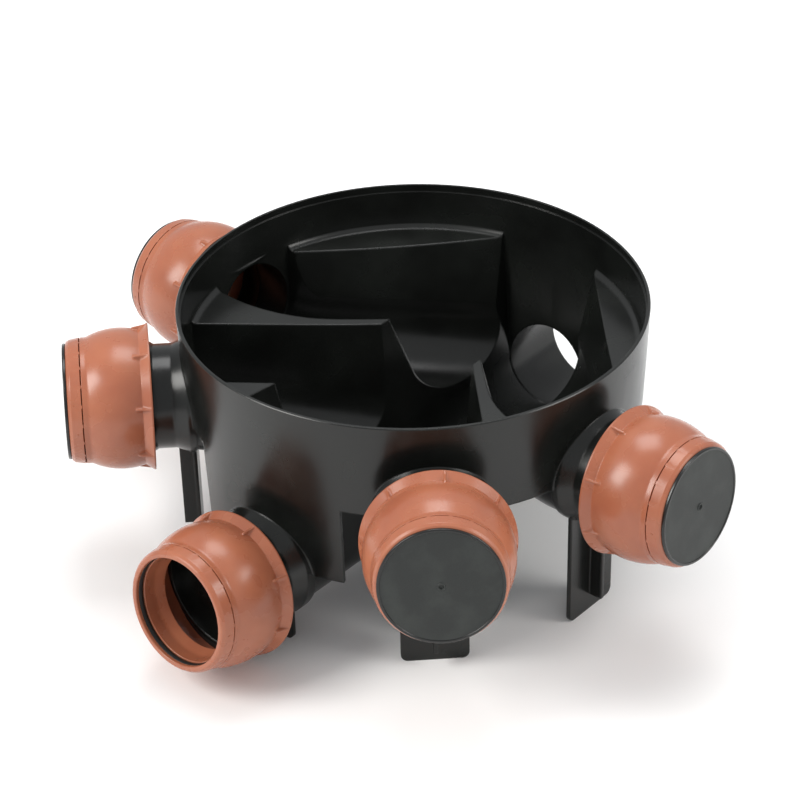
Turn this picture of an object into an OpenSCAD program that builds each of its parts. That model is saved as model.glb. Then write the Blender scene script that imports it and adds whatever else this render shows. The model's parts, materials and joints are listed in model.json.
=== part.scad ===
// Drain inspection chamber base: one black moulded base with a falling main run,
// four branch channels and benching, five swivelling ball sockets for 110 mm pipe,
// their seals and snap rings, and four blanking plugs.
// Frame: +X is the way the water runs, +Z is up, the origin is on the ground
// at the middle of the chamber. Millimetres.

/* [Pipe] */
// Outer radius of the drain pipe that the spigots and sockets are made for
pipe_r = 55; // [50:0.5:60]
// Wall of the moulded spigots
spigot_wall = 3.5; // [3:0.1:4]
// Radial play of the pipe in a socket
pipe_play = 0.6; // [0.4:0.05:0.8]

/* [Chamber wall] */
// Outer radius of the chamber at its rim
rim_r = 244.5; // [238:0.5:262]
// How much narrower the wall is at its lower edge
wall_draft = 4; // [2:0.5:6]
// Thickness of the chamber wall
wall_t = 4.5; // [4:0.1:6]
// Height of the rim over the ground
rim_z = 287; // [275:1:320]
// Height of the wall's lower edge over the ground
wall_foot_z = 181; // [175:1:187]
// Depth of the seat for the shaft seal inside the rim
rim_seat_h = 8; // [5:0.5:12]
// Step of that seat into the wall
rim_seat_step = 1.2; // [0.8:0.1:1.6]
// Height of the lower edge of the aprons at the two ends of the main run
apron_z = 91; // [80:1:110]
// Half the angle that each apron covers
apron_angle = 23; // [18:1:26]
// How far the ends of the channels are cut into the wall past its inner face
mouth_step = 0.3; // [0.2:0.1:0.6]

/* [Channels and benching] */
// Height of the axis of the main run
main_z = 86; // [80:1:92]
// Height of the axis of the four branches
branch_z = 183; // [178:1:188]
// Height of the benches where they meet the wall
bench_z = 235; // [228:1:242]
// Fall of the benches towards the middle, in degrees
bench_fall = 5; // [3:0.5:7]
// Radius of the round corner between the benches and the wall
bench_corner = 9; // [6:0.5:12]
// How far that round corner runs on into the wall
corner_lap = 0.5; // [0.4:0.1:0.8]
// Thickness of the moulded channels and benches
shell_t = 4.5; // [4:0.1:5.5]
// How much wider the channels are than the bore of the spigots, at the radius
channel_ease = 0.6; // [0.4:0.1:1.2]
// Lean of the channels' upright walls, in degrees
wall_lean = 4.5; // [3:0.25:6]
// How much wider each stretch of a square branch is than the one before it
stretch_ease = 0.2; // [0.1:0.1:0.5]
// Fall of the branch channels towards the main run, in degrees
branch_fall = 12; // [8:0.5:14]
// Radius of the curve that turns the square branches downstream
sweep_r = 112; // [104:1:126]
// Distance from the wall's foot in to the straight edge of the downstream benches
chord_in = 35; // [30:1:40]
// How much nearer to the middle the foot of the sloping wall below that edge is
chord_run = 24; // [21:1:29]
// Height of the foot of that sloping wall
chord_foot_z = 125; // [122:1:130]

/* [Spigots] */
// How far the plain outlet spigot stands out from the wall's foot
outlet_l = 65.5; // [55:0.5:85]
// Length of the flared root where a spigot leaves the wall
root_l = 12; // [8:1:16]
// How much wider the root is than the spigot
root_flare = 6; // [3:0.5:8]
// How deep the root's cone reaches into the wall
root_lap = 3; // [2:0.5:4]

/* [Ball joints] */
// Distance from the wall's foot to the centre of each ball
ball_out = 67.5; // [64:0.5:80]
// How much larger the ball is than the pipe, at the radius
ball_over = 11; // [10:0.25:12]
// Wall of the hollow ball
ball_wall = 4; // [3:0.25:5]
// How far the ball goes on past its centre towards the pipe
ball_nose = 1; // [0:0.25:2]
// Gap between ball and socket that the ball seal fills
seal_gap = 4.5; // [4:0.1:5]
// Distance from the ball centre back to the rear edge of the ball seal
seal_back = 20; // [18:0.5:22]
// Length of the ball seal along its axis
seal_l = 12; // [8:0.5:14]
// Clearance between parts that slide or turn on each other
run_clear = 0.3; // [0.25:0.05:0.4]
// Clearance between parts that are snapped together
seat_clear = 0.3; // [0.2:0.05:0.4]

/* [Sockets] */
// Wall of the ball socket
socket_wall = 3.5; // [3:0.1:4]
// Distance from the ball centre back to the face of the collar
collar_back = 32; // [31:0.25:33]
// How far the collar stands out from the skin of the ball socket
collar_out = 3; // [2.5:0.25:4]
// Length of the flare from the collar's face to that skin
flare_l = 10; // [8:0.5:12]
// Distance from the ball centre back to the throat that holds the ball in
throat_back = 28; // [27.5:0.25:28.5]
// How much wider the throat opens at the collar's face, at the radius
throat_lead = 4; // [3:0.25:5]
// Number of small ribs round the collar
collar_ribs = 8; // [6:1:12]
// Thickness of a collar rib
rib_t = 2.6; // [2:0.1:3.5]
// Length of a collar rib along the axis
rib_l = 15; // [12:0.5:16]
// Height of a rib's low end over the skin of the ball socket
rib_end_h = 1.5; // [1:0.25:2]
// Distance from the ball centre to the pipe stop
stop_at = 19; // [18.5:0.25:20]
// Thickness of the pipe stop
stop_t = 3.5; // [3:0.25:4]
// Distance from the ball centre to the seam of the snap ring
seam_at = 39.5; // [38:0.5:41]
// Length of the tube that the snap ring holds, past the seam
tube_past_seam = 4.5; // [3.5:0.25:5.5]
// Width of the groove for the pipe seal
seal_w = 6.2; // [5:0.1:7.5]
// Wall of the tube under the snap ring
tube_wall = 6.4; // [6:0.1:6.9]
// How much larger the bore of the pipe seal is than that of the socket, at the radius
seal_ease = 0.4; // [0.3:0.05:0.5]
// Size of the bevels on the lip of the pipe seal and on the bead of the plug
seal_edge = 0.8; // [0.5:0.1:1]

/* [Snap rings] */
// Wall of the snap ring at the seam, with its clearance
ring_wall = 4; // [3.5:0.1:4.5]
// How much narrower the snap ring is at its mouth
ring_taper = 2.4; // [1.5:0.1:3]
// Size of the bevels round its mouth
mouth_edge = 2; // [1.5:0.1:2.5]
// Thickness of the mouth lip of the snap ring
lip_t = 4.2; // [3.5:0.1:5]
// Radial play of the pipe in the mouth lip
lip_play = 1.8; // [1.5:0.1:2.2]
// Number of slots along the seam
seam_slots = 18; // [12:1:24]
// Length of one slot round the seam
slot_l = 8; // [5:0.5:10]
// Width of a slot
slot_w = 1.2; // [0.8:0.1:1.6]

/* [Plugs] */
// Thickness of the flange of a blanking plug
plug_flange_t = 3.2; // [2.5:0.1:4]
// Width of the raised rim round that flange
plug_rim = 1.6; // [1.2:0.1:2]
// Depth of the face inside that rim
plug_face_in = 0.6; // [0.4:0.1:1]
// Radius of the small nub in the middle of the face
plug_nub_r = 2.4; // [1.5:0.1:3]
// Depth of the plug behind its flange
plug_depth = 27; // [22:0.5:30]
// Wall of the plug
plug_wall = 2.8; // [2:0.1:3.5]

/* [Legs] */
// How far the outer faces of the leg plates stand back from the wall's foot
leg_in = 3.5; // [1:0.5:4.5]
// Width of a leg plate
leg_w = 70; // [60:1:80]
// Thickness of the leg plates and their webs
leg_t = 4.5; // [4:0.1:6]
// How far the web of a leg stands out from its plate
web_out = 15; // [12:1:15]
// Height of the foot of the web over the ground
web_foot = 19; // [10:1:30]
// Radius of the lower corners of a leg plate
leg_corner = 8; // [5:0.5:12]

/* [Swivel at rest] */
// Upward tilt of the main inlet socket, in degrees
tilt_main = 9; // [-9:0.5:9]
// Upward tilt of the left upstream socket
tilt_left_up = 1.5; // [-9:0.5:9]
// Upward tilt of the left side socket
tilt_left_side = 0; // [-9:0.5:9]
// Upward tilt of the right upstream socket
tilt_right_up = 8.5; // [-9:0.5:9]
// Upward tilt of the right side socket
tilt_right_side = 4.5; // [-9:0.5:9]
// Sideways swing of the left upstream socket, in degrees
swing_left_up = 3; // [-4:0.5:4]
// Sideways swing of the right upstream socket
swing_right_up = -3; // [-4:0.5:4]

/* [Hidden] */
$fn = 96;
eps = 0.01;
bore_r = pipe_r - spigot_wall;
channel_r = bore_r + channel_ease;
socket_bore_r = pipe_r + pipe_play;
wall_foot_r = rim_r - wall_draft;
wall_in_r = wall_foot_r - wall_t;
chord_top = wall_in_r - chord_in;
chord_foot = chord_top - chord_run;
outlet_end = wall_foot_r + outlet_l;
leg_at = wall_foot_r - leg_in;
ball_at = wall_foot_r + ball_out;
ball_r = pipe_r + ball_over;
socket_in_r = ball_r + seal_gap;
socket_out_r = socket_in_r + socket_wall;
collar_r = socket_out_r + collar_out;
throat_r = sqrt(socket_in_r * socket_in_r - throat_back * throat_back);
tube_r = socket_bore_r + tube_wall;
ring_r = tube_r + ring_wall;
tube_end = seam_at + tube_past_seam;
mouth_at = tube_end + seal_w + seat_clear + lip_t;
seal_in_r = socket_bore_r + seal_ease;
plug_at = mouth_at + seat_clear;
plug_flange_r = ring_r - ring_taper - 1.3 * mouth_edge - run_clear;
slope_per_mm = wall_draft / (rim_z - wall_foot_z);
open_top = rim_z - bench_z + branch_z;
bench_slope = tan(bench_fall);
corner_steps = 12;
stretch_fall = asin(sin(branch_fall) / sqrt(2));
stretch_l = sqrt(2) * (wall_in_r - bench_corner) / cos(branch_fall) - sweep_r;

// Radius on a sphere of radius r at distance u from its centre
function ball_edge(r, u) = sqrt(r * r - u * u);

// Inner radius of the wall at height z; its draft runs on down through the aprons
function wall_in_at(z) = wall_in_r + slope_per_mm * (z - wall_foot_z);

// Height of the benches at radius r
function bench_at(r) = bench_z - bench_slope * (wall_in_at(bench_z) - r);

// Points of a circle's arc about the origin, as [radius, distance along the axis]
function arc_points(r, u0, u1, n = 24) =
    let (a0 = asin(u0 / r), a1 = asin(u1 / r))
    [for (i = [0:n]) let (a = a0 + (a1 - a0) * i / n) [r * cos(a), r * sin(a)]];

// A turned shape whose axis is the local X axis
module turned() {
    rotate([0, 90, 0]) rotate_extrude() children();
}

// Local +X points out of the chamber along the direction az, from the point at distance r
module on_axis(az, r, z) {
    rotate([0, 0, az]) translate([r, 0, z]) children();
}

// The frame of a socket: origin at the ball centre, +X out towards the pipe
module at_ball(az, z, swing, tilt) {
    on_axis(az, ball_at, z) rotate([0, 0, swing]) rotate([0, -tilt, 0]) children();
}

module at_main() at_ball(180, main_z, 0, tilt_main) children();
module at_left_up() at_ball(135, branch_z, swing_left_up, tilt_left_up) children();
module at_left_side() at_ball(90, branch_z, 0, tilt_left_side) children();
module at_right_up() at_ball(-135, branch_z, swing_right_up, tilt_right_up) children();
module at_right_side() at_ball(-90, branch_z, 0, tilt_right_side) children();

// ---- chamber base ----

// Section of a channel: a pipe whose upper side is open to the height h between walls that
// lean apart, grown by g
module channel_section(g, h) {
    half = channel_r + g;
    apart = h * tan(wall_lean);
    circle(r = channel_r + g);
    polygon([[-half, 0], [half, 0], [half + apart, h], [-half - apart, h]]);
}

// Straight channel along +X from x0 to x1, round its own axis
module straight_channel(x0, x1, g, h) {
    translate([x0, 0, 0]) rotate([90, 0, 90]) linear_extrude(x1 - x0) channel_section(g, h);
}

// The main run, from wall to wall
module main_channel(g) {
    translate([0, 0, main_z]) straight_channel(-wall_foot_r, wall_foot_r, g, open_top);
}

// A branch that runs straight to the middle
module slant_channel(az, g) {
    on_axis(az, wall_in_r, branch_z) rotate([0, -branch_fall, 0])
        straight_channel(-wall_in_r, root_l, g, open_top);
}

// A square branch that turns downstream through 45 degrees; side is 1 or -1
module swept_channel(side, g) {
    mirror([0, side < 0 ? 1 : 0, 0])
        translate([sweep_r, wall_in_r, branch_z]) rotate([branch_fall, 0, 0]) {
            rotate([0, 0, 180]) rotate_extrude(angle = 45)
                translate([sweep_r, 0]) channel_section(g, open_top);
            rotate([0, 0, 225]) translate([sweep_r, 0, 0]) rotate([90, 0, 180])
                linear_extrude(stretch_l) channel_section(g + stretch_ease, open_top);
            translate([-sweep_r, 0, 0]) rotate([90, 0, 180])
                linear_extrude(root_l) channel_section(g - stretch_ease, open_top);
        }
}

// The open space in front of the sloping wall of a downstream bench; it falls with the branch
module chord_space(side, g) {
    slope = (chord_top - chord_foot) / (bench_at(chord_top) - chord_foot_z);
    rotate([0, 0, 45 * side]) translate([0, 0, chord_foot_z]) rotate([side * stretch_fall, 0, 0])
        rotate([90, 0, 0]) linear_extrude(1.1 * wall_in_r, center = true)
            polygon([[chord_foot - channel_r - g, -g], [chord_foot + g, -g],
                [chord_foot + g + slope * rim_z, rim_z], [chord_foot - channel_r - g, rim_z]]);
}

// All the channels and open spaces inside the chamber, grown by g
module channels(g) {
    main_channel(g);
    for (az = [135, -135]) slant_channel(az, g);
    for (side = [1, -1]) {
        swept_channel(side, g);
        chord_space(side, g);
    }
}

// The wall with the seat for the shaft seal inside its rim. At the two ends of the main run
// it comes down as aprons; between them it ends higher up.
module wall() {
    seat_z = rim_z - rim_seat_h;
    seat_r = rim_r - wall_t + rim_seat_step;
    difference() {
        rotate_extrude($fn = 180)
            polygon([[wall_in_at(apron_z) + wall_t, apron_z], [wall_in_at(rim_z - 1) + wall_t, rim_z - 1],
                [rim_r - 1, rim_z], [seat_r, rim_z], [seat_r, seat_z],
                [wall_in_at(seat_z), seat_z], [wall_in_at(apron_z), apron_z]]);
        for (az = [0, 180]) rotate([0, 0, az + apron_angle])
            rotate_extrude(angle = 180 - 2 * apron_angle)
                translate([wall_in_r / 2, 0]) square([rim_r, wall_foot_z]);
    }
}

// The inside of the chamber, grown by g into the wall, up to the height h there and drop lower
// in the middle
module inside(g, h, drop = 0) {
    rotate_extrude($fn = 180)
        polygon([[0, 0], [wall_in_at(0) + g, 0], [wall_in_at(h) + g, h], [0, h - drop]]);
}

// The benches before the channels are cut out of them, with the round corner up to the wall
module bench_plate() {
    corner_at = wall_in_at(bench_z + bench_corner) - bench_corner + corner_lap;
    corner_z = bench_at(corner_at) + bench_corner / cos(bench_fall);
    end_r = wall_in_at(corner_z) + 0.7 * wall_t;
    rotate_extrude($fn = 180)
        polygon(concat([[0, bench_at(0)]],
            [for (i = [0:corner_steps]) let (a = (bench_fall - 90) * (1 - i / corner_steps))
                [corner_at + bench_corner * cos(a), corner_z + bench_corner * sin(a)]],
            [[end_r, corner_z], [end_r, bench_at(end_r) - shell_t], [0, bench_at(0) - shell_t]]));
}

// Channels and benches as one moulded shell
module benching() {
    difference() {
        union() {
            bench_plate();
            intersection() {
                channels(shell_t);
                inside(wall_t / 2, bench_z - shell_t / 2, bench_z - bench_at(0));
            }
        }
        intersection() {
            channels(0);
            inside(mouth_step, rim_z);
        }
    }
}

// A spigot from the middle of the wall to its end, before it is bored
module spigot_blank(az, z, end) {
    difference() {
        on_axis(az, 0, z) turned()
            polygon([[0, wall_in_r / 2], [pipe_r + root_flare, wall_in_r / 2],
                [pipe_r + root_flare, wall_foot_r - root_lap], [pipe_r, wall_foot_r + root_l],
                [pipe_r, end], [0, end]]);
        inside(wall_t / 4, rim_z);
    }
}

// The hollow ball on the end of a spigot
module ball_blank(az, z) {
    on_axis(az, ball_at, z) turned()
        polygon(concat([[0, -ball_edge(ball_r, pipe_r)]],
            arc_points(ball_r, -ball_edge(ball_r, pipe_r), ball_nose), [[0, ball_nose]]));
}

module ball_hollow(az, z) {
    in_r = ball_r - ball_wall;
    on_axis(az, ball_at, z) turned()
        polygon(concat([[0, -ball_edge(in_r, bore_r)]],
            arc_points(in_r, -ball_edge(in_r, bore_r), ball_nose + 1), [[0, ball_nose + 1]]));
}

module bore_cut(az, z, end) {
    on_axis(az, 0, z) turned() translate([0, wall_in_r - root_l]) square([bore_r, end - wall_in_r + root_l]);
}

// Outline of a leg plate of width w and height h, with round lower corners
module leg_outline(w, h) {
    translate([-w / 2, leg_corner]) square([w, h - leg_corner]);
    translate([-w / 2 + leg_corner, 0]) square([w - 2 * leg_corner, h]);
    for (s = [-1, 1]) translate([s * (w / 2 - leg_corner), leg_corner]) circle(r = leg_corner);
}

// A leg under the spigot in direction az whose axis is at height z
module leg(az, z) {
    h = z - pipe_r / 2;
    rotate([0, 0, az]) {
        translate([leg_at - leg_t, 0, 0]) rotate([90, 0, 90]) linear_extrude(leg_t) leg_outline(leg_w, h);
        translate([leg_at - eps, -leg_t / 2, web_foot]) cube([web_out, leg_t, z - bore_r - web_foot]);
    }
}

module chamber_base() {
    color([0.12, 0.13, 0.12]) difference() {
        union() {
            wall();
            benching();
            for (az = [135, 90, -135, -90]) {
                spigot_blank(az, branch_z, ball_at - ball_r / 2);
                ball_blank(az, branch_z);
                leg(az, branch_z);
            }
            spigot_blank(180, main_z, ball_at - ball_r / 2);
            ball_blank(180, main_z);
            spigot_blank(0, main_z, outlet_end);
            for (az = [0, 180]) leg(az, main_z);
        }
        for (az = [135, 90, -135, -90]) {
            bore_cut(az, branch_z, ball_at + ball_r);
            ball_hollow(az, branch_z);
        }
        for (az = [0, 180]) bore_cut(az, main_z, ball_at + ball_r);
        ball_hollow(180, main_z);
    }
}

// ---- ball seals ----

// A soft ring with the shape of the gap between ball and socket
module ball_seal() {
    in_r = ball_r + run_clear;
    out_r = socket_in_r - run_clear;
    front = seal_l - seal_back;
    color([0.06, 0.06, 0.06]) turned()
        polygon(concat(arc_points(out_r, -seal_back, front), arc_points(in_r, front, -seal_back)));
}

// ---- sockets ----

// A small rib from the collar down to the skin of the ball socket
module collar_rib() {
    low_end = rib_l - collar_back;
    rotate([90, 0, 0]) linear_extrude(rib_t, center = true)
        polygon([[1 - collar_back, throat_r + throat_lead + 1], [1 - collar_back, collar_r - 0.5],
            [rib_l / 3 - collar_back, collar_r - 0.7],
            [low_end, ball_edge(socket_out_r, low_end) + rib_end_h],
            [low_end, ball_edge(socket_out_r, low_end) - socket_wall / 2]]);
}

module socket() {
    shoulder = ball_edge(socket_out_r, ring_r);
    color([0.75, 0.43, 0.31]) union() {
        turned() polygon(concat(
            [[throat_r, -throat_back], [throat_r + throat_lead, -collar_back], [collar_r - 1, -collar_back],
                [collar_r, 1 - collar_back]],
            arc_points(socket_out_r, flare_l - collar_back, shoulder),
            [[ring_r, seam_at], [tube_r, seam_at], [tube_r, tube_end], [socket_bore_r, tube_end],
                [socket_bore_r, stop_at + stop_t], [bore_r, stop_at + stop_t], [bore_r, stop_at]],
            arc_points(socket_in_r, stop_at, -throat_back)));
        for (i = [0:collar_ribs - 1]) rotate([360 / collar_ribs * (i + 0.5), 0, 0]) collar_rib();
    }
}

// ---- pipe seals ----

module pipe_seal() {
    out_r = tube_r - seat_clear;
    mid = tube_end + seal_w / 2;
    color([0.06, 0.06, 0.06]) turned()
        polygon([[out_r, tube_end + seat_clear], [out_r, tube_end + seal_w],
            [seal_in_r + 1, tube_end + seal_w],
            [seal_in_r, mid + seal_edge], [seal_in_r, mid - seal_edge],
            [seal_in_r + 1, tube_end + seat_clear]]);
}

// ---- snap rings ----

module snap_ring() {
    in_r = tube_r + seat_clear;
    lip_r = pipe_r + lip_play;
    lip_at = mouth_at - lip_t;
    mouth_r = ring_r - ring_taper;
    color([0.75, 0.43, 0.31]) difference() {
        turned() polygon([[in_r, seam_at + seat_clear], [ring_r, seam_at + seat_clear],
            [mouth_r + 0.2 * mouth_edge, mouth_at - 2 * mouth_edge],
            [mouth_r - 0.3 * mouth_edge, mouth_at - 0.7 * mouth_edge], [mouth_r - 1.3 * mouth_edge, mouth_at],
            [lip_r + 0.8 * mouth_edge, mouth_at], [lip_r, mouth_at - 0.6 * mouth_edge],
            [lip_r, lip_at], [in_r, lip_at]]);
        for (i = [0:seam_slots - 1]) rotate([360 / seam_slots * i, 0, 0])
            translate([seam_at, -slot_l / 2, tube_r]) cube([seat_clear + slot_w, slot_l, ring_r]);
    }
}

// ---- plugs ----

module plug() {
    body_r = socket_bore_r - run_clear;
    end = plug_at - plug_depth;
    face = plug_at + plug_flange_t;
    bead_r = seal_in_r - run_clear;
    bead_at = tube_end + seal_w / 2;
    color([0.15, 0.16, 0.15]) {
        turned() polygon([[0, plug_at + 0.4], [body_r - plug_wall, plug_at], [body_r - plug_wall, end],
            [body_r - 1.2, end], [body_r, end + 2.5], [body_r, bead_at - 2 * seal_edge],
            [bead_r, bead_at - seal_edge], [bead_r, bead_at + seal_edge], [body_r, bead_at + 2 * seal_edge],
            [body_r, plug_at], [plug_flange_r, plug_at], [plug_flange_r, face - 0.4],
            [plug_flange_r - 0.5, face], [plug_flange_r - plug_rim, face],
            [plug_flange_r - plug_rim - plug_face_in, face - plug_face_in],
            [plug_nub_r + plug_face_in, face - plug_face_in], [plug_nub_r, face + 0.2], [0, face + 0.2]]);
    }
}

module ball_seal_main() at_main() ball_seal();
module ball_seal_left_up() at_left_up() ball_seal();
module ball_seal_left_side() at_left_side() ball_seal();
module ball_seal_right_up() at_right_up() ball_seal();
module ball_seal_right_side() at_right_side() ball_seal();
module socket_main() at_main() socket();
module socket_left_up() at_left_up() socket();
module socket_left_side() at_left_side() socket();
module socket_right_up() at_right_up() socket();
module socket_right_side() at_right_side() socket();
module pipe_seal_main() at_main() pipe_seal();
module pipe_seal_left_up() at_left_up() pipe_seal();
module pipe_seal_left_side() at_left_side() pipe_seal();
module pipe_seal_right_up() at_right_up() pipe_seal();
module pipe_seal_right_side() at_right_side() pipe_seal();
module snap_ring_main() at_main() snap_ring();
module snap_ring_left_up() at_left_up() snap_ring();
module snap_ring_left_side() at_left_side() snap_ring();
module snap_ring_right_up() at_right_up() snap_ring();
module snap_ring_right_side() at_right_side() snap_ring();
module plug_left_up() at_left_up() plug();
module plug_left_side() at_left_side() plug();
module plug_right_up() at_right_up() plug();
module plug_right_side() at_right_side() plug();

chamber_base();
ball_seal_main();
ball_seal_left_up();
ball_seal_left_side();
ball_seal_right_up();
ball_seal_right_side();
socket_main();
socket_left_up();
socket_left_side();
socket_right_up();
socket_right_side();
pipe_seal_main();
pipe_seal_left_up();
pipe_seal_left_side();
pipe_seal_right_up();
pipe_seal_right_side();
snap_ring_main();
snap_ring_left_up();
snap_ring_left_side();
snap_ring_right_up();
snap_ring_right_side();
plug_left_up();
plug_left_side();
plug_right_up();
plug_right_side();
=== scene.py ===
"""Looks of a drain inspection chamber base: a black moulded base with its ball-jointed terracotta
sockets, snap rings, seals and blanking plugs, on a pale floor under soft studio light.

Sizes of the pieces are in millimetres and are turned to metres when a mesh is made."""
import json
import math

import bpy
import numpy as np
from mathutils import Matrix, Vector


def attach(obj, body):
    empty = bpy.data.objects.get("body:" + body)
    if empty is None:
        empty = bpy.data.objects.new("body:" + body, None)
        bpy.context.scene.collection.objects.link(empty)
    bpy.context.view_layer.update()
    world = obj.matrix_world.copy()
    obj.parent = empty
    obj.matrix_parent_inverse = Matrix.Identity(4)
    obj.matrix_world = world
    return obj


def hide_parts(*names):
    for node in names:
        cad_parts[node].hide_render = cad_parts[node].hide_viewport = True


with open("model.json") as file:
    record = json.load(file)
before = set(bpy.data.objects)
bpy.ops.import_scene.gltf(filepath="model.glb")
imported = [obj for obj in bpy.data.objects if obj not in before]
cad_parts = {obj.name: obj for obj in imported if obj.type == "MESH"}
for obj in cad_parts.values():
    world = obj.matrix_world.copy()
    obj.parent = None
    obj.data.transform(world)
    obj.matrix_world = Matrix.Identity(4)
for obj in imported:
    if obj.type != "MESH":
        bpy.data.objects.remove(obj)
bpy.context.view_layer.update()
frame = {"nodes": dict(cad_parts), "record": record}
nodes = frame["nodes"]
joints = {j["name"]: j for j in frame["record"]["behaviour"]["joints"]}

MM = 0.001
PLACES = ("main", "left_up", "left_side", "right_up", "right_side")
PLUGGED = PLACES[1:]

# ---- driving sizes of the pipe joints, in millimetres ----
# A place "at" is a distance from the ball's centre along the pipe's axis, out of the chamber, and a
# "back" is one into the chamber. MOUTH_EDGE has rows of place from the mouth, radius from the band and
# fillet radius. GATE_MARK and PLUG_GATE have rows of height over the face, radius and fillet radius.
CLEAR = 0.3                  # between pieces that are snapped together
ROUND_STEPS = 192            # of a plain turned piece

BORE_R = 51.5                # inside the pipe stop
SOCKET_BORE_R = 55.6
SOCKET_IN_R = 70.5
SOCKET_OUT_R = 74.0
THROAT_BACK = 28.0
THROAT_LEAD = 4.0            # how much wider the throat is at the collar's face
COLLAR_BACK = 32.0
COLLAR_R = 77.0
COLLAR_EDGE_T = 1.8
CREASE_AT = -21.5            # where the collar's cone meets the sphere
CREASE_LAP = 2.5
CREASE_ROUND = 1.2
NECK_FILLET = 8.0
STOP_AT = 19.0
STOP_T = 3.5
STOP_LEAD = (8.0, -2.6)      # ends of the slope up to the stop, from its outer face
STOP_ROUNDS = (14.0, 4.0)
SEAM_AT = 39.5
TUBE_END = 44.0
TUBE_R = 62.0
EDGE_ROUND = 0.6             # of a moulded edge

COLLAR_RIBS = 8
RIB_HALF_T = 0.9
RIB_SIDE = 0.7               # width over which a rib's side rises
RIB_TOP = ((-30.4, 76.6), (-15.3, 74.2), (-14.5, 73.2))      # places and radii along its top
RIB_TURN = {"main": 8.0, "left_up": 0.0, "left_side": 10.0, "right_up": 17.0, "right_side": -6.0}

SEAL_W = 6.2
SEAL_IN_R = SOCKET_BORE_R + 0.4
SEAL_LIP_H = 1.0

RING_R = 66.0
RING_TAPER = 2.4             # of the band, from its edge at the seam to the mouth
LIP_T = 4.2
LIP_R = 56.8
MOUTH_AT = TUBE_END + SEAL_W + CLEAR + LIP_T
MOUTH_EDGE = ((-3.6, 0.6, 1.8), (-0.9, -1.3, 1.2), (0.0, -2.9, 1.2))
SEAM_SLOTS = 20
SLOT_HALF = 8.4              # half of a slot's length
SLOT_END = 0.5               # length over which its ends close
SLOT_W = 0.85
SLOT_FADE = 1.6              # from the band's edge to where nothing of a slot is left
GATE_AT = 46.5
GATE_MARK = ((-0.6, 0, 0), (-0.6, 1.3, 0), (0.15, 1.3, 0.2), (0.45, 0.65, 0.4), (0.5, 0, 0))

PLUG_R = 60.7
PLUG_T = 3.2
PLUG_DEPTH = 27.0
PLUG_WALL = 2.8
PLUG_FLOOR_RISE = 0.4        # of the hollow's floor, at the axis
PLUG_NOSE = (2.5, 1.2)       # length and depth of the lead-in at its inner end
PLUG_BEAD_W = 1.6            # half of the bead's width
PLUG_RIM_W = 2.8
PLUG_RIM_H = 0.8
PLUG_RIM_SLOPE = 0.5
PLUG_GATE = ((-0.8, 4.3, 0.3), (0.1, 3.7, 0.4), (0.1, 2.7, 0.4), (-1.6, 2.0, 0.4))


# ---- shapes ----

def arc(radius, u0, u1, count):
    """Points [u, r] of the circle u^2 + r^2 = radius^2, at even angles from place u0 to place u1."""
    angle = np.linspace(np.arcsin(u0 / radius), np.arcsin(u1 / radius), count)
    return np.stack([radius * np.sin(angle), radius * np.cos(angle)], axis=1)


def rounded(corners, closed=True, steps=5):
    """A smooth outline [u, r] from corners (u, r, fillet radius).

    At each corner the fillet of radius f touches both legs at f / tan(half the corner's angle) from it,
    shortened to 45% of the shorter leg. A corner of radius 0 is kept as it is. Each straight leg gets a
    point just inside either end, so that shading stays flat between fillets."""
    points = np.array([c[:2] for c in corners], float)
    fillets = np.array([c[2] for c in corners], float)
    out = []
    count = len(points)
    for i in range(count):
        here = points[i]
        if not closed and i in (0, count - 1):
            out.append(here[None])
            continue
        before = points[i - 1] - here
        after = points[(i + 1) % count] - here
        len_b, len_a = np.linalg.norm(before), np.linalg.norm(after)
        before, after = before / len_b, after / len_a
        half = 0.5 * math.acos(float(np.clip(before @ after, -1, 1)))
        if fillets[i] <= 0 or half > math.radians(88):
            out.append(here[None])
            continue
        reach = min(fillets[i] / math.tan(half), 0.45 * len_b, 0.45 * len_a)
        t = np.linspace(0, 1, steps + 1)[:, None]
        start, end = here + before * reach, here + after * reach
        # the fillet as a rational quadratic curve, which is the exact circle through both touching points
        weight = math.sin(half)
        top = (1 - t) ** 2 * start + 2 * t * (1 - t) * weight * here + t**2 * end
        bend = top / ((1 - t) ** 2 + 2 * t * (1 - t) * weight + t**2)
        pad = 0.25 * min(reach, len_b - reach, 0.8)
        pad_after = 0.25 * min(reach, len_a - reach, 0.8)
        out.append(np.vstack([start + before * pad, bend, end + after * pad_after]))
    return np.vstack(out)


def place_of(name):
    """The frame of a socket: a 4x4 matrix whose origin is the ball's centre, in metres, and whose
    X axis points out along the pipe. The tilt at rest is minus the middle of the tilt joint's range."""
    tilt = joints["tilt_" + name]
    level = Vector(tilt["axis"])
    out = Vector((-level.y, level.x, 0.0))
    rise = math.radians(-0.5 * sum(tilt["range_deg"]))
    x_axis = out * math.cos(rise) + Vector((0, 0, 1)) * math.sin(rise)
    y_axis = -level
    z_axis = x_axis.cross(y_axis)
    frame_3 = Matrix((x_axis, y_axis, z_axis)).transposed()
    return Matrix.Translation(Vector(tilt["pos_m"])) @ frame_3.to_4x4()


def mesh_object(name, points, faces, material, place=None):
    """A smooth-shaded object at the origin from points in millimetres and a list of faces."""
    points = np.asarray(points, float) * MM
    if place is not None:
        m = np.array(place)
        points = points @ m[:3, :3].T + m[:3, 3]
    mesh = bpy.data.meshes.new(name)
    mesh.from_pydata(points.tolist(), [], [list(map(int, f)) for f in faces])
    mesh.polygons.foreach_set("use_smooth", np.ones(len(mesh.polygons), bool))
    mesh.materials.append(material)
    mesh.validate()
    made = bpy.data.objects.new(name, mesh)
    bpy.context.scene.collection.objects.link(made)
    return made


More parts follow.
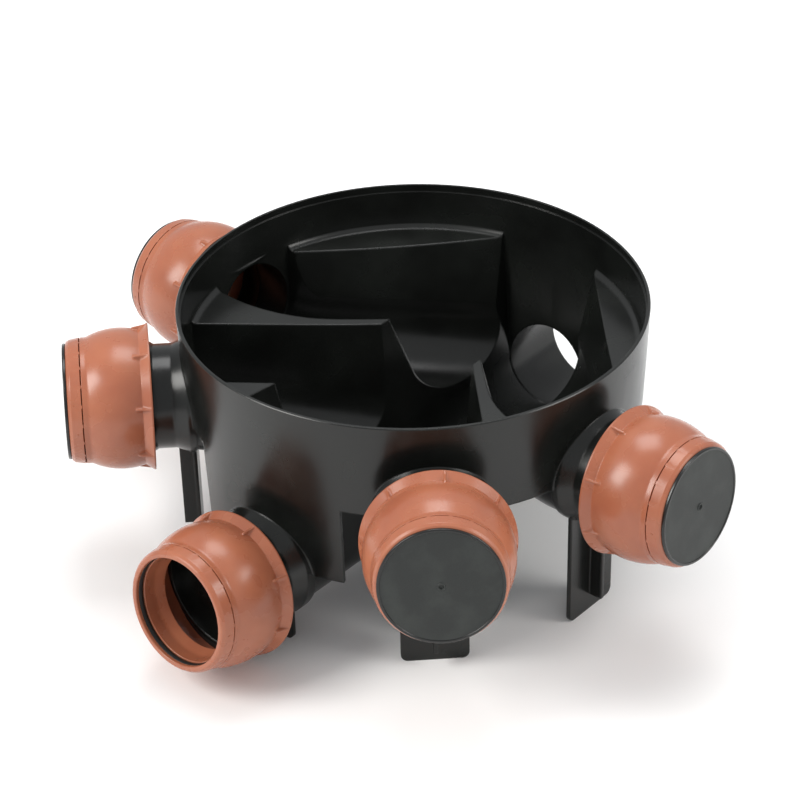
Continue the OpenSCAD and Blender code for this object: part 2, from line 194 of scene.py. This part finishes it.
def grid_faces(rows, columns, wrap_rows):
    """Quads of a grid of rows x columns whose columns always wrap round."""
    i = np.arange(rows if wrap_rows else rows - 1)[:, None]
    j = np.arange(columns)[None, :]
    a = i * columns + j
    b = i * columns + (j + 1) % columns
    c = ((i + 1) % rows) * columns + (j + 1) % columns
    d = ((i + 1) % rows) * columns + j
    return np.stack([a, b, c, d], axis=-1).reshape(-1, 4)


def turned(outline, angles, shift=None):
    """Points of an outline [u, r] turned about the X axis: (u, r cos a, r sin a) for each angle a.
    shift is an optional array rows x angles x 2, added to u and r."""
    u = np.repeat(outline[:, :1], len(angles), axis=1)
    r = np.repeat(outline[:, 1:2], len(angles), axis=1)
    if shift is not None:
        u, r = u + shift[..., 0], r + shift[..., 1]
    return np.stack([u, r * np.cos(angles), r * np.sin(angles)], axis=-1).reshape(-1, 3)


def turned_ring(name, outline, angles, material, place, shift=None):
    """A closed ring: a closed outline turned all the way round."""
    points = turned(outline, angles, shift)
    faces = grid_faces(len(outline), len(angles), wrap_rows=True)
    return mesh_object(name, points, faces, material, place)


def turned_disc(name, outline, angles, material, place):
    """A closed solid from an open outline whose two ends lie on the axis; each end is one pole."""
    inner = outline[1:-1]
    ring_points = turned(inner, angles)
    poles = np.array([[outline[0, 0], 0, 0], [outline[-1, 0], 0, 0]])
    count = len(angles)
    faces = grid_faces(len(inner), count, wrap_rows=False).tolist()
    first, last = len(ring_points), len(ring_points) + 1
    j = np.arange(count)
    k = (j + 1) % count
    base = (len(inner) - 1) * count
    faces += np.stack([np.full(count, first), k, j], axis=1).tolist()
    faces += np.stack([np.full(count, last), base + j, base + k], axis=1).tolist()
    return mesh_object(name, np.vstack([ring_points, poles]), faces, material, place)


def even_angles(count):
    """Angles round the circle, all the same step apart."""
    return np.linspace(0, 2 * math.pi, count, endpoint=False)


def angles_with_marks(marks, half_width, ramp, between):
    """Angles round the circle with extra ones at the flanks of each mark, so that its sides stay sharp.
    half_width and ramp are angles."""
    step = 2 * math.pi / len(marks)
    near = np.array([-half_width - ramp, -half_width - ramp / 2, -half_width, -half_width / 3,
                     half_width / 3, half_width, half_width + ramp / 2, half_width + ramp])
    far = np.linspace(near[-1], step + near[0], between + 2)[1:-1]
    pattern = np.concatenate([near, far])
    return np.sort((np.asarray(marks)[:, None] + pattern[None, :]).ravel() % (2 * math.pi))


def marked(angles, marks, half_width, ramp):
    """1 within half_width of a mark, falling smoothly to 0 over the ramp."""
    off = np.abs((angles[:, None] - np.asarray(marks)[None, :] + math.pi) % (2 * math.pi) - math.pi)
    t = np.clip((half_width + ramp - off.min(axis=1)) / ramp, 0, 1)
    return t * t * (3 - 2 * t)


# ---- materials ----

def linear(colour):
    """sRGB hex to linear RGBA."""
    part = np.array([int(colour[i:i + 2], 16) for i in (1, 3, 5)]) / 255
    value = np.where(part <= 0.04045, part / 12.92, ((part + 0.055) / 1.055) ** 2.4)
    return (*[float(v) for v in value], 1.0)


def add(tree, kind, inputs=None, **settings):
    """Adds a node with its settings. Each input is a value, or an output socket to link from."""
    made = tree.nodes.new(kind)
    for key, value in settings.items():
        setattr(made, key, value)
    for key, value in (inputs or {}).items():
        if isinstance(value, bpy.types.NodeSocket):
            tree.links.new(value, made.inputs[key])
        else:
            made.inputs[key].default_value = value
    return made


def new_material(name):
    """A node material with a bare Principled shader. Returns material, tree, shader and the socket of
    the object coordinates."""
    material = bpy.data.materials.new(name)
    material.use_nodes = True
    tree = material.node_tree
    tree.nodes.clear()
    shader = add(tree, "ShaderNodeBsdfPrincipled")
    add(tree, "ShaderNodeOutputMaterial", {"Surface": shader.outputs["BSDF"]})
    where = add(tree, "ShaderNodeTexCoord").outputs["Object"]
    return material, tree, shader, where


def scale_of(size_mm):
    """Noise scale whose features are about size_mm across, on coordinates in metres."""
    return 1.0 / (size_mm * MM)


def black_polypropylene():
    """Injection-moulded polypropylene with carbon black: a glossy skin with a faint waviness from the
    mould, a fine grain, and slow changes of gloss where the melt flowed. The benches' edges are round and
    the trimmed rim is sharp."""
    material, tree, shader, where = new_material("black_polypropylene")
    flow = add(tree, "ShaderNodeTexNoise", {"Vector": where, "Scale": scale_of(60), "Detail": 3.0})
    tone = add(tree, "ShaderNodeMapRange", {"Value": flow.outputs["Fac"], "From Min": 0.3, "From Max": 0.7})
    colour = add(tree, "ShaderNodeMix", {"Factor": tone.outputs["Result"], "A": linear("#111211"),
                                         "B": linear("#191b19")}, data_type="RGBA")
    gloss = add(tree, "ShaderNodeMapRange", {"Value": flow.outputs["Fac"], "From Min": 0.3, "From Max": 0.7,
                                             "To Min": 0.2, "To Max": 0.29})
    grain = add(tree, "ShaderNodeTexNoise", {"Vector": where, "Scale": scale_of(1.2), "Detail": 2.0})
    wave = add(tree, "ShaderNodeTexNoise", {"Vector": where, "Scale": scale_of(35), "Detail": 1.0})
    height = add(tree, "ShaderNodeSeparateXYZ", {"Vector": where})
    # edges are round up to the benches and sharp above them
    bench_top, wall_part = 235 * MM, 255 * MM
    edge_r = add(tree, "ShaderNodeMapRange", {"Value": height.outputs["Z"], "From Min": bench_top,
                                              "From Max": wall_part, "To Min": 3.0 * MM, "To Max": 0.7 * MM})
    edge = add(tree, "ShaderNodeBevel", {"Radius": edge_r.outputs["Result"]}, samples=6)
    low = add(tree, "ShaderNodeBump", {"Height": wave.outputs["Fac"], "Distance": 0.5 * MM,
                                       "Strength": 0.25, "Normal": edge.outputs["Normal"]})
    fine = add(tree, "ShaderNodeBump", {"Height": grain.outputs["Fac"], "Distance": 0.03 * MM,
                                        "Strength": 0.35, "Normal": low.outputs["Normal"]})
    tree.links.new(colour.outputs["Result"], shader.inputs["Base Color"])
    tree.links.new(gloss.outputs["Result"], shader.inputs["Roughness"])
    tree.links.new(fine.outputs["Normal"], shader.inputs["Normal"])
    shader.inputs["IOR"].default_value = 1.49
    shader.inputs["Specular IOR Level"].default_value = 0.42
    return material


def terracotta_polypropylene():
    """Injection-moulded polypropylene in terracotta, with a satin skin: soft highlights, a fine grain,
    slightly uneven colour from the pigment, and a little light that passes under the skin."""
    material, tree, shader, where = new_material("terracotta_polypropylene")
    cloud = add(tree, "ShaderNodeTexNoise", {"Vector": where, "Scale": scale_of(45), "Detail": 4.0})
    tone = add(tree, "ShaderNodeMapRange", {"Value": cloud.outputs["Fac"], "From Min": 0.3, "From Max": 0.7})
    colour = add(tree, "ShaderNodeMix", {"Factor": tone.outputs["Result"], "A": linear("#9a5941"),
                                         "B": linear("#a8664a")}, data_type="RGBA")
    gloss = add(tree, "ShaderNodeMapRange", {"Value": cloud.outputs["Fac"], "From Min": 0.3, "From Max": 0.7,
                                             "To Min": 0.23, "To Max": 0.31})
    grain = add(tree, "ShaderNodeTexNoise", {"Vector": where, "Scale": scale_of(1.0), "Detail": 2.0})
    fine = add(tree, "ShaderNodeBump", {"Height": grain.outputs["Fac"], "Distance": 0.03 * MM,
                                        "Strength": 0.4})
    tree.links.new(colour.outputs["Result"], shader.inputs["Base Color"])
    tree.links.new(gloss.outputs["Result"], shader.inputs["Roughness"])
    tree.links.new(fine.outputs["Normal"], shader.inputs["Normal"])
    shader.inputs["IOR"].default_value = 1.49
    shader.inputs["Subsurface Weight"].default_value = 0.06
    shader.inputs["Subsurface Scale"].default_value = 2 * MM
    return material


def seal_rubber():
    """Black EPDM rubber from a polished mould: dark, with a soft sheen."""
    material, tree, shader, where = new_material("seal_rubber")
    grain = add(tree, "ShaderNodeTexNoise", {"Vector": where, "Scale": scale_of(1.5), "Detail": 2.0})
    fine = add(tree, "ShaderNodeBump", {"Height": grain.outputs["Fac"], "Distance": 0.05 * MM,
                                        "Strength": 0.4})
    tree.links.new(fine.outputs["Normal"], shader.inputs["Normal"])
    shader.inputs["Base Color"].default_value = linear("#131413")
    shader.inputs["Roughness"].default_value = 0.48
    shader.inputs["IOR"].default_value = 1.52
    return material


def plug_plastic():
    """Dark reground polypropylene: a matte face from a spark-eroded mould, with a fine even grain and
    cloudy scuffs, and a polished rim. The mesh's attribute "polish" is 1 on the rim."""
    material, tree, shader, where = new_material("dark_plug_plastic")
    polish = add(tree, "ShaderNodeAttribute", attribute_name="polish")
    grain = add(tree, "ShaderNodeTexNoise", {"Vector": where, "Scale": scale_of(1.1), "Detail": 3.0})
    scuff = add(tree, "ShaderNodeTexNoise", {"Vector": where, "Scale": scale_of(30), "Detail": 5.0,
                                             "Roughness": 0.6})
    speck = add(tree, "ShaderNodeMix", {"Factor": grain.outputs["Fac"], "A": linear("#131615"),
                                        "B": linear("#222624")}, data_type="RGBA")
    cloud = add(tree, "ShaderNodeMapRange", {"Value": scuff.outputs["Fac"], "From Min": 0.45,
                                             "From Max": 0.75, "To Max": 0.55})
    face = add(tree, "ShaderNodeMix", {"Factor": cloud.outputs["Result"], "A": speck.outputs["Result"],
                                       "B": linear("#343835")}, data_type="RGBA")
    colour = add(tree, "ShaderNodeMix", {"Factor": polish.outputs["Fac"], "A": face.outputs["Result"],
                                         "B": linear("#111211")}, data_type="RGBA")
    gloss = add(tree, "ShaderNodeMapRange", {"Value": polish.outputs["Fac"], "To Min": 0.56, "To Max": 0.24})
    depth = add(tree, "ShaderNodeMapRange", {"Value": polish.outputs["Fac"], "To Min": 0.6, "To Max": 0.05})
    fine = add(tree, "ShaderNodeBump", {"Height": grain.outputs["Fac"], "Distance": 0.08 * MM,
                                        "Strength": depth.outputs["Result"]})
    tree.links.new(colour.outputs["Result"], shader.inputs["Base Color"])
    tree.links.new(gloss.outputs["Result"], shader.inputs["Roughness"])
    tree.links.new(fine.outputs["Normal"], shader.inputs["Normal"])
    shader.inputs["IOR"].default_value = 1.49
    return material


BLACK = black_polypropylene()
TERRACOTTA = terracotta_polypropylene()
RUBBER = seal_rubber()
PLUG = plug_plastic()


# ---- camera and stage ----

# each soft box: name, place in metres, width and height in metres, power in watts, colour
LIGHTS = (("key", (-2.3, 1.2, 2.2), (1.3, 1.7), 70, "#fffdf9"),
          ("side", (1.1, -2.4, 1.9), (1.1, 1.5), 40, "#fffdf9"),
          ("top", (0.7, 0.6, 2.9), (1.4, 1.4), 34, "#ffffff"))
LIGHT_AIM = (0, 0, 0.15)
FLOOR_HALF = 12000.0         # half of the floor's side, in millimetres


def place_camera():
    """A long lens that looks down on the chamber from the inlet's right side. The camera stands at the
    given azimuth, elevation and distance from its aim, and is rolled a little about its line of sight."""
    aim = Vector((-0.0175, 0.0053, 0.1664))
    azimuth, elevation, roll = math.radians(-138.4), math.radians(33.427), math.radians(1.362)
    distance = 2.6138
    back = Vector((math.cos(elevation) * math.cos(azimuth), math.cos(elevation) * math.sin(azimuth),
                   math.sin(elevation)))
    right = Vector((0, 0, 1)).cross(back).normalized()
    up = back.cross(right)
    turned_right = right * math.cos(roll) - up * math.sin(roll)
    turned_up = right * math.sin(roll) + up * math.cos(roll)
    data = bpy.data.cameras.new("camera")
    data.sensor_width = 36.0
    data.lens = 111.57
    data.clip_end = 50.0
    camera = bpy.data.objects.new("camera", data)
    camera.matrix_world = Matrix.Translation(aim + back * distance) @ Matrix(
        (turned_right, turned_up, back)).transposed().to_4x4()
    bpy.context.scene.collection.objects.link(camera)
    bpy.context.scene.camera = camera


def area_light(name, at, size, power, colour):
    """A soft box at a place, turned to the chamber's middle."""
    data = bpy.data.lights.new(name, "AREA")
    data.shape = "RECTANGLE"
    data.size, data.size_y = size
    data.energy = power
    data.color = linear(colour)[:3]
    light = bpy.data.objects.new(name, data)
    light.location = at
    light.rotation_euler = (Vector(LIGHT_AIM) - Vector(at)).to_track_quat("-Z", "Y").to_euler()
    bpy.context.scene.collection.objects.link(light)


def floor_paint():
    """Matt white paint on a smooth board."""
    material, tree, shader, where = new_material("matt_white_floor")
    cloud = add(tree, "ShaderNodeTexNoise", {"Vector": where, "Scale": scale_of(1250), "Detail": 1.0})
    colour = add(tree, "ShaderNodeMix", {"Factor": cloud.outputs["Fac"], "A": linear("#f8f8f8"),
                                         "B": linear("#fafafa")}, data_type="RGBA")
    tree.links.new(colour.outputs["Result"], shader.inputs["Base Color"])
    shader.inputs["Roughness"].default_value = 0.9
    return material


def set_stage():
    """A plain pale floor, a pale world and three soft boxes."""
    corners = [[x * FLOOR_HALF, y * FLOOR_HALF, 0] for x, y in ((-1, -1), (1, -1), (1, 1), (-1, 1))]
    mesh_object("floor", corners, [[0, 1, 2, 3]], floor_paint())
    world = bpy.data.worlds.new("studio")
    world.use_nodes = True
    backdrop = world.node_tree.nodes["Background"]
    backdrop.inputs["Color"].default_value = linear("#f4f6f8")
    backdrop.inputs["Strength"].default_value = 0.7
    bpy.context.scene.world = world
    for name, at, size, power, colour in LIGHTS:
        area_light(name, at, size, power, colour)
    bpy.context.scene.view_settings.view_transform = "Standard"


place_camera()
set_stage()


# ---- pieces ----

def socket(name):
    """A ball socket: two spheres about the ball's centre, a conical collar that meets the outer one in a
    crease, a neck and the tube with the pipe stop, turned round. The neck's fillet of radius f is centred
    at R + f from the ball's centre, so that it touches the sphere of radius R. Thin gussets stand on the
    collar's cone and run on to the sphere."""
    place = place_of(name)
    throat_r = math.sqrt(SOCKET_IN_R**2 - THROAT_BACK**2)
    crease_r = math.sqrt(SOCKET_OUT_R**2 - CREASE_AT**2)
    past_crease = CREASE_AT + CREASE_LAP
    fillet_r = SOCKET_OUT_R + NECK_FILLET
    neck_at = math.sqrt(fillet_r**2 - (RING_R + NECK_FILLET) ** 2)
    outer = arc(SOCKET_OUT_R, past_crease, neck_at * SOCKET_OUT_R / fillet_r, count=44)
    inner = arc(SOCKET_IN_R, STOP_AT, -THROAT_BACK, count=30)
    collar = rounded([(-THROAT_BACK, throat_r, 0), (-COLLAR_BACK, throat_r + THROAT_LEAD, EDGE_ROUND),
                      (-COLLAR_BACK, COLLAR_R, EDGE_ROUND),
                      (-COLLAR_BACK + COLLAR_EDGE_T, COLLAR_R, EDGE_ROUND),
                      (CREASE_AT, crease_r, CREASE_ROUND), (past_crease, outer[0, 1], 0)], closed=False)
    bend = np.linspace(math.atan2(-(RING_R + NECK_FILLET), -neck_at), -math.pi / 2, 9)[1:]
    neck = np.stack([neck_at + NECK_FILLET * np.cos(bend), RING_R + NECK_FILLET * (1 + np.sin(bend))], axis=1)
    stop_face = STOP_AT + STOP_T
    tube = rounded([(neck_at, RING_R, 0), (SEAM_AT, RING_R, 0.5), (SEAM_AT, TUBE_R, 0.4),
                    (TUBE_END, TUBE_R, 0.5), (TUBE_END, SOCKET_BORE_R, 0.9),
                    (stop_face + STOP_LEAD[0], SOCKET_BORE_R, STOP_ROUNDS[0]),
                    (stop_face + STOP_LEAD[1], BORE_R, STOP_ROUNDS[1]), (STOP_AT, BORE_R, EDGE_ROUND),
                    (STOP_AT, inner[0, 1], 0)], closed=False, steps=6)
    outline = np.vstack([collar[:-1], outer, neck[:-1], tube[:-1], inner[:-1]])
    marks = (np.arange(COLLAR_RIBS) + 0.5) * 2 * math.pi / COLLAR_RIBS + math.radians(RIB_TURN[name])
    half_width, side = RIB_HALF_T / COLLAR_R, RIB_SIDE / COLLAR_R
    angles = angles_with_marks(marks, half_width, side, between=18)
    # a gusset lifts the skin to its top, which falls from below the collar's edge to a blunt end
    top = np.interp(outline[:, 0], *zip(*RIB_TOP), left=0, right=0)
    skin = np.arange(len(outline)) < len(collar) + len(outer)
    rise = np.where(skin, np.clip(top - outline[:, 1], 0, None), 0)
    shift = np.zeros((len(outline), len(angles), 2))
    shift[..., 1] = rise[:, None] * marked(angles, marks, half_width, side)[None, :]
    piece = turned_ring("ball_socket_" + name, outline, angles, TERRACOTTA, place, shift)
    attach(piece, "socket_" + name)
    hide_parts("socket_" + name)


def snap_ring(name):
    """The ring snapped on a socket's end: a tapered band with a round front edge, turned round. Slots are
    cut in its edge along the seam, and a small gate mark stands on the band at each side."""
    place = place_of(name)
    in_r = TUBE_R + CLEAR
    start = SEAM_AT + CLEAR
    lip_at = MOUTH_AT - LIP_T
    mouth_r = RING_R - RING_TAPER
    edge = [(MOUTH_AT + at, mouth_r + rise, fillet) for at, rise, fillet in MOUTH_EDGE]
    outline = rounded([(start, in_r, 0.2), (start, RING_R, 0.4), *edge, (MOUTH_AT, LIP_R, 1.4),
                       (lip_at, LIP_R, 0.4), (lip_at, in_r, 0.3)], steps=6)
    marks = np.arange(SEAM_SLOTS) * 2 * math.pi / SEAM_SLOTS
    half_width, ramp = SLOT_HALF / RING_R, SLOT_END / RING_R
    angles = angles_with_marks(marks, half_width, ramp, between=6)
    # the slots push in the outer half of the band's edge
    outer_half = outline[:, 1] > 0.5 * (in_r + RING_R)
    near_seam = np.clip(start + SLOT_FADE - outline[:, 0], 0, 1) * outer_half
    shift = np.zeros((len(outline), len(angles), 2))
    shift[..., 0] = SLOT_W * near_seam[:, None] * marked(angles, marks, half_width, ramp)[None, :]
    piece = turned_ring("snap_ring_" + name + "_moulded", outline, angles, TERRACOTTA, place, shift)
    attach(piece, "socket_" + name)
    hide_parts("snap_ring_" + name)
    band_r = np.interp(GATE_AT, [start, edge[0][0]], [RING_R, edge[0][1]])
    nub = rounded(GATE_MARK, closed=False, steps=3)
    outwards = Matrix.Translation((GATE_AT * MM, band_r * MM, 0)) @ Matrix.Rotation(math.pi / 2, 4, "Z")
    for side in (0, 180):
        round_axis = Matrix.Rotation(math.radians(side), 4, "X")
        mark = turned_disc(f"ring_gate_{name}_{side}", nub, even_angles(16), TERRACOTTA,
                           place @ round_axis @ outwards)
        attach(mark, "socket_" + name)


def pipe_seal(name):
    """The rubber ring in the groove between socket and snap ring, with a rounded lip inwards, turned
    round."""
    place = place_of(name)
    out_r = TUBE_R - CLEAR
    start, end = TUBE_END + CLEAR, TUBE_END + SEAL_W
    mid = 0.5 * (start + end)
    outline = rounded([(end, out_r, 0.5), (end, SEAL_IN_R + SEAL_LIP_H, 0.8), (mid, SEAL_IN_R, 1.6),
                       (start, SEAL_IN_R + SEAL_LIP_H, 0.8), (start, out_r, 0.5)])
    piece = turned_ring("lip_seal_" + name, outline, even_angles(ROUND_STEPS), RUBBER, place)
    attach(piece, "socket_" + name)
    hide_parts("pipe_seal_" + name)


def plug(name):
    """A blanking plug: a shallow cup that closes the socket, with a flange, a raised rim, a bead, and the
    ring and pit of the gate in the middle of its face, turned round. The attribute "polish" is 1 on the
    flange's rim, by the distance from the axis."""
    place = place_of(name)
    back = MOUTH_AT + CLEAR
    face = back + PLUG_T
    end = back - PLUG_DEPTH
    body_r = SOCKET_BORE_R - CLEAR
    hollow_r = body_r - PLUG_WALL
    nose_l, nose_in = PLUG_NOSE
    bead_at = TUBE_END + SEAL_W / 2
    rim_in_r = PLUG_R - PLUG_RIM_W
    rim_foot_r = rim_in_r - PLUG_RIM_SLOPE
    gate = [(face + height, radius, fillet) for height, radius, fillet in PLUG_GATE]
    outline = rounded([(back + PLUG_FLOOR_RISE, 0, 0), (back, hollow_r, 1.0), (end, hollow_r, 0.6),
                       (end, body_r - nose_in, 0.5), (end + nose_l, body_r, 1.0),
                       (bead_at - PLUG_BEAD_W, body_r, 0.3), (bead_at, SEAL_IN_R - CLEAR, 1.0),
                       (bead_at + PLUG_BEAD_W, body_r, 0.3), (back, body_r, 0.2), (back, PLUG_R, 0.5),
                       (face, PLUG_R, 1.4), (face, rim_in_r, 1.0), (face - PLUG_RIM_H, rim_foot_r, 0.3),
                       *gate, (gate[-1][0], 0, 0)], closed=False)
    piece = turned_disc("blanking_plug_" + name, outline, even_angles(ROUND_STEPS), PLUG, place)
    spots = np.empty(len(piece.data.vertices) * 3)
    piece.data.vertices.foreach_get("co", spots)
    to_socket = np.array(place.inverted())
    local = spots.reshape(-1, 3) @ to_socket[:3, :3].T + to_socket[:3, 3]
    from_axis = np.hypot(local[:, 1], local[:, 2]) / MM
    polish = piece.data.attributes.new("polish", "FLOAT", "POINT")
    polish.data.foreach_set("value", np.clip((from_axis - rim_foot_r + 0.1) / 0.2, 0, 1))
    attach(piece, "plug_" + name)
    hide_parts("plug_" + name)


def dress(node, material):
    """Gives a node of the frame its material."""
    part = nodes[node]
    if not part.material_slots:
        part.data.materials.append(material)
    for slot in part.material_slots:
        slot.material = material


for place_name in PLACES:
    socket(place_name)
    snap_ring(place_name)
    pipe_seal(place_name)
    dress("ball_seal_" + place_name, RUBBER)
for place_name in PLUGGED:
    plug(place_name)
dress("chamber_base", BLACK)
